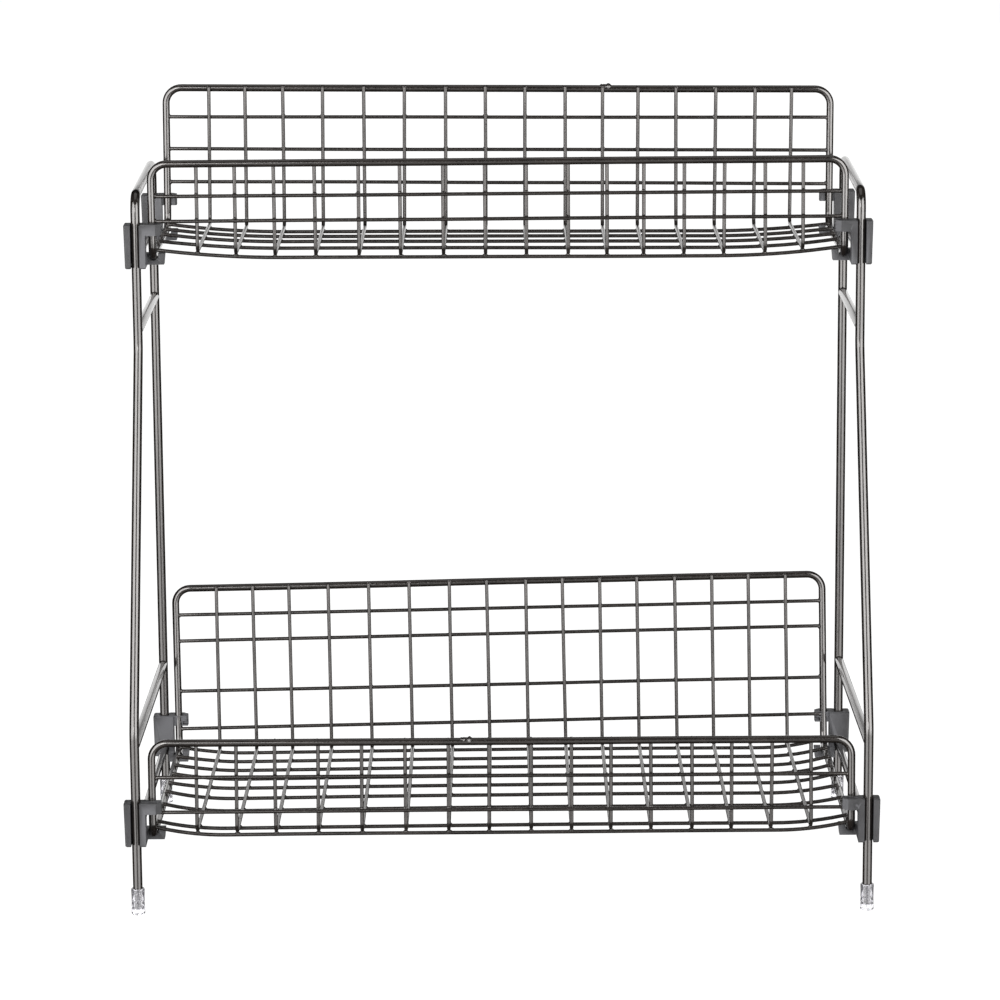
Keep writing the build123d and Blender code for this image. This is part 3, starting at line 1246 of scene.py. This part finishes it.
TIERS = [
    Basket(
        name="upper",
        leg_depth=RACK.step_back,
        brace_height=296.5 * MM,
        rail_height=335.0 * MM,
        tilt=math.radians(1.2),
        front_height=50.5 * MM,
        back_height=77.5 * MM,
        back_lean=math.radians(0.1),
        flat_share=0.63,
        back_corner_wire=False,
        front_rows=(0.396, 0.661),
        floor_rows=(0.354, 0.573, 0.751, 0.916),
        back_rows=(0.326, 0.564, 0.796),
        cross_errors=(1.4, -0.5, -1.9, -2.3, -1.5, -1, 0, 0.2, 0.5, 1, 0.6, -1.3, -1.2, -0.8, 0, -0.9),
        front_warp=Warp(lean=0.3 * MM),
        floor_warp=Warp(lean=-0.9 * MM, bow=-0.2 * MM),
        back_warp=Warp(lean=-1.55 * MM, bow=-0.75 * MM, swing=0.4 * MM),
        joint_spot=(Wall.BACK, 61 * MM),
        seed=11,
    ),
    Basket(
        name="lower",
        leg_depth=0.0,
        brace_height=91.0 * MM,
        rail_height=42.5 * MM,
        tilt=math.radians(2.6),
        front_height=49.7 * MM,
        back_height=95.0 * MM,
        back_lean=math.radians(3.52),
        flat_share=0.79,
        back_corner_wire=True,
        front_rows=(0.252, 0.616),
        floor_rows=(0.110, 0.303, 0.443, 0.557, 0.665, 0.768, 0.873),
        back_rows=(0.153, 0.382, 0.684, 0.839),
        cross_errors=(1, -0.3, -2, -1.9, -0.9, 0, 1, 0.4, 1, 0.6, 0.3, 0, 0.2, 0, 0, -0.2),
        front_warp=Warp(bow=-0.4 * MM),
        floor_warp=Warp(lean=0.75 * MM, bow=-0.75 * MM),
        back_warp=Warp(lean=3.2 * MM, bow=-0.5 * MM, swing=-1.2 * MM),
        joint_spot=(Wall.FRONT, -17 * MM),
        seed=29,
    ),
]


@dataclass
class CornerClip:
    """A moulded clip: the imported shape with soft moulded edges."""

    side: Side
    tier: str
    end: str
    edge: float = 0.38 * MM
    sharpness: float = math.radians(28.0)
    same_point: float = 0.005 * MM
    same_plane: float = math.radians(1.0)

    @property
    def node(self) -> str:
        """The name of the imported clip."""
        return f"{self.side.word}_{self.tier}_{self.end}_clip"

    def build(self) -> None:
        """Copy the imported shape, clean it and round its edges."""
        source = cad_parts[self.node]
        bm = bmesh.new()
        bm.from_mesh(source.data)
        bmesh.ops.remove_doubles(bm, verts=bm.verts, dist=self.same_point)
        bmesh.ops.dissolve_limit(
            bm, angle_limit=self.same_plane, verts=bm.verts, edges=bm.edges
        )
        mesh = bpy.data.meshes.new(f"{self.node}_body")
        bm.to_mesh(mesh)
        bm.free()
        piece = place_piece(
            f"{self.node}_body",
            mesh,
            f"{self.tier}_basket",
            PLASTIC,
            [self.node],
        )
        rounding = piece.modifiers.new("soft_edges", "BEVEL")
        rounding.width = self.edge
        rounding.segments = 3
        rounding.limit_method = "ANGLE"
        rounding.angle_limit = self.sharpness
        flatness = piece.modifiers.new("flat_faces", "WEIGHTED_NORMAL")
        flatness.mode = "FACE_AREA"
        flatness.weight = 100


@dataclass
class FootCap:
    """A clear push-on cap, turned as one thick cup with a closed sole."""

    side: Side
    end: str
    bore: float = 2.55 * MM
    sole_edge: float = 0.9 * MM
    sole_hollow: float = 0.25 * MM
    lip: float = 0.35 * MM
    waist: float = 0.12 * MM
    turns: int = 48

    @property
    def node(self) -> str:
        """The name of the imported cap."""
        return f"{self.side.word}_{self.end}_foot"

    def profile(self, radius: float, height: float) -> list[tuple[float, float]]:
        """Half section of the cap, from the sole's middle round to the bore's.

        Args:
            radius: Outer radius.
            height: Height of the cap.

        Returns:
            Pairs of radius and height.
        """
        edge, lip, sole = self.sole_edge, self.lip, RACK.sole
        outline = [(0.0, self.sole_hollow), (radius * 0.45, self.sole_hollow * 0.8)]
        outline.append((radius * 0.62, 0.0))
        for step in range(7):
            angle = math.radians(90.0) * step / 6
            across = radius - edge + edge * math.sin(angle)
            outline.append((across, edge - edge * math.cos(angle)))
        waist = radius - self.waist
        outline += [(waist, height * 0.45), (waist, height * 0.7), (radius, height - 2.2 * lip)]
        for step in range(5):
            angle = math.radians(180.0) * step / 4
            across = (radius + self.bore) / 2 + (radius - self.bore) / 2 * math.cos(angle)
            outline.append((across, height - lip + lip * math.sin(angle)))
        outline += [(self.bore, sole + lip), (self.bore - lip, sole), (0.0, sole)]
        return outline

    def build(self) -> None:
        """Turn the profile about the leg's axis."""
        low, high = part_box(self.node)
        centre = Vector(((low[0] + high[0]) / 2, (low[1] + high[1]) / 2, 0.0))
        outline = self.profile((high[0] - low[0]) / 2, high[2])
        bm = bmesh.new()
        rings = []
        for radius, height in outline:
            count = 1 if radius == 0.0 else self.turns
            ring = []
            for step in range(count):
                angle = math.tau * step / self.turns
                spot = Vector((radius * math.cos(angle), radius * math.sin(angle), height))
                ring.append(bm.verts.new(centre + spot))
            rings.append(ring)
        for first, second in zip(rings, rings[1:]):
            for step in range(self.turns):
                after = (step + 1) % self.turns
                corners = [first[step % len(first)], first[after % len(first)]]
                corners += [second[after % len(second)], second[step % len(second)]]
                bm.faces.new(list(dict.fromkeys(corners)))
        bmesh.ops.recalc_face_normals(bm, faces=bm.faces)
        mesh = bpy.data.meshes.new(f"{self.node}_cap")
        bm.to_mesh(mesh)
        bm.free()
        place_piece(f"{self.node}_cap", mesh, "frame", VINYL, [self.node])


@dataclass(frozen=True)
class Panel:
    """A light panel: its size, brightness, middle and the height on the rack that it faces."""

    name: str
    width: float
    height: float
    radiance: float
    place: tuple[float, float, float]
    aim_height: float


PANELS = [
    Panel("rear_low", 3.4, 1.6, 1.15, place=(0.0, 4.0, 0.25), aim_height=0.25),
    Panel("rear_high", 3.4, 1.0, 0.55, place=(0.0, 4.0, 1.55), aim_height=1.55),
    Panel("front", 0.62, 1.7, 0.9, place=(0.0, -2.0, -0.45), aim_height=0.0),
    Panel("fill_near", 0.20, 0.7, 6.5, place=(-0.32, -2.1, 0.78), aim_height=0.2),
    Panel("fill_far", 0.24, 0.7, 17.0, place=(-0.54, -2.1, 0.78), aim_height=0.2),
    Panel("top_box", 1.6, 1.6, 0.8, place=(0.0, 0.1, 2.2), aim_height=0.2),
]


@dataclass
class Studio:
    """A white floor, two tall soft boxes beside the camera, light panels and the camera."""

    focal_share: float = 4.49
    pitch: float = math.radians(12.5)
    roll: float = math.radians(-0.37)
    camera_height: float = 724.14 * MM
    camera_reach: float = 2264.3 * MM
    sensor: float = 36.0
    sight: float = 50.0
    floor_reach: float = 30.0
    box_angle: float = math.radians(43.0)
    box_distance: float = 1.9
    box_width: float = 1.95
    box_low: float = -0.16
    box_mid: float = 0.07
    box_high: float = 1.9
    box_bottom: float = -1.1
    box_radiance: float = 9.2
    mid_radiance: float = 7.2
    low_radiance: float = 4.5

    def build(self) -> None:
        """Set up everything around the rack."""
        self.camera()
        self.floor()
        self.world()
        for side in Side:
            self.soft_box(side)
        self.panels()
        settings = bpy.context.scene.view_settings
        settings.view_transform = "Standard"
        settings.look = "None"

    def camera(self) -> None:
        """The camera at the photograph's angle."""
        data = bpy.data.cameras.new("camera")
        data.sensor_width = self.sensor
        data.sensor_fit = "HORIZONTAL"
        data.lens = self.sensor * self.focal_share
        data.clip_end = self.sight
        camera = bpy.data.objects.new("camera", data)
        place = Vector((0.0, RACK.front_y - self.camera_reach, self.camera_height))
        tilt = Matrix.Rotation(math.radians(90.0) - self.pitch, 4, "X")
        spin = Matrix.Rotation(self.roll, 4, "Z")
        camera.matrix_world = Matrix.Translation(place) @ tilt @ spin
        bpy.context.scene.collection.objects.link(camera)
        bpy.context.scene.camera = camera

    def floor(self) -> None:
        """A wide white floor that the wires don't mirror."""
        mesh = bpy.data.meshes.new("floor")
        bm = bmesh.new()
        bmesh.ops.create_grid(bm, x_segments=8, y_segments=8, size=self.floor_reach)
        bm.to_mesh(mesh)
        bm.free()
        mesh.materials.append(FloorPaint().material)
        floor = bpy.data.objects.new("floor", mesh)
        bpy.context.scene.collection.objects.link(floor)
        floor.visible_glossy = False
        floor.visible_shadow = False

    def world(self) -> None:
        """White surroundings that fill the shadows and leave gloss to the boxes."""
        world = bpy.data.worlds.new("surroundings")
        world.use_nodes = True
        background = world.node_tree.nodes["Background"]
        background.inputs["Color"].default_value = (1.0, 1.0, 1.0, 1.0)
        background.inputs["Strength"].default_value = 1.0
        world.cycles_visibility.glossy = False
        bpy.context.scene.world = world

    def area(
        self, name: str, size: tuple[float, float], radiance: float, place: Vector, aim: Vector
    ) -> None:
        """Add an area light.

        Args:
            name: The light's name.
            size: Width and height.
            radiance: Brightness of its face.
            place: Its middle.
            aim: The point that it faces.
        """
        data = bpy.data.lights.new(name, "AREA")
        data.shape = "RECTANGLE"
        data.size, data.size_y = size
        data.energy = radiance * size[0] * size[1] * math.pi
        light = bpy.data.objects.new(name, data)
        turn = (aim - place).to_track_quat("-Z", "Y").to_matrix().to_4x4()
        light.matrix_world = Matrix.Translation(place) @ turn
        light.visible_camera = False
        bpy.context.scene.collection.objects.link(light)

    def soft_box(self, side: Side) -> None:
        """A tall box on one side of the camera, dimmer towards its foot.

        Args:
            side: Which side.
        """
        across = math.sin(self.box_angle) * self.box_distance * side.value
        back = -math.cos(self.box_angle) * self.box_distance
        for part, low, high, radiance in (
            ("low", self.box_bottom, self.box_low, self.low_radiance),
            ("mid", self.box_low, self.box_mid, self.mid_radiance),
            ("high", self.box_mid, self.box_high, self.box_radiance),
        ):
            middle = (low + high) / 2
            self.area(
                f"{side.word}_{part}_box",
                (self.box_width, high - low),
                radiance,
                Vector((across, back, middle)),
                Vector((0.0, 0.0, middle)),
            )

    def panels(self) -> None:
        """Panels behind, in front and above, for the wires' other reflections."""
        for panel in PANELS:
            size = (panel.width, panel.height)
            aim = Vector((0.0, 0.0, panel.aim_height))
            self.area(panel.name, size, panel.radiance, Vector(panel.place), aim)


def main() -> None:
    """Build the rack's pieces in order, then the studio."""
    logging.basicConfig(level=logging.INFO, format="%(name)s %(message)s")
    noise.seed_set(WANDER_SEED)
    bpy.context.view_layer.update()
    for side in Side:
        SideFrame(side).build()
        for end in ("front", "rear"):
            FootCap(side, end).build()
    for basket in TIERS:
        basket.build()
        for side in Side:
            for end in ("front", "rear"):
                CornerClip(side, basket.name, end).build()
    Studio().build()


if __name__ == "__main__":
    main()
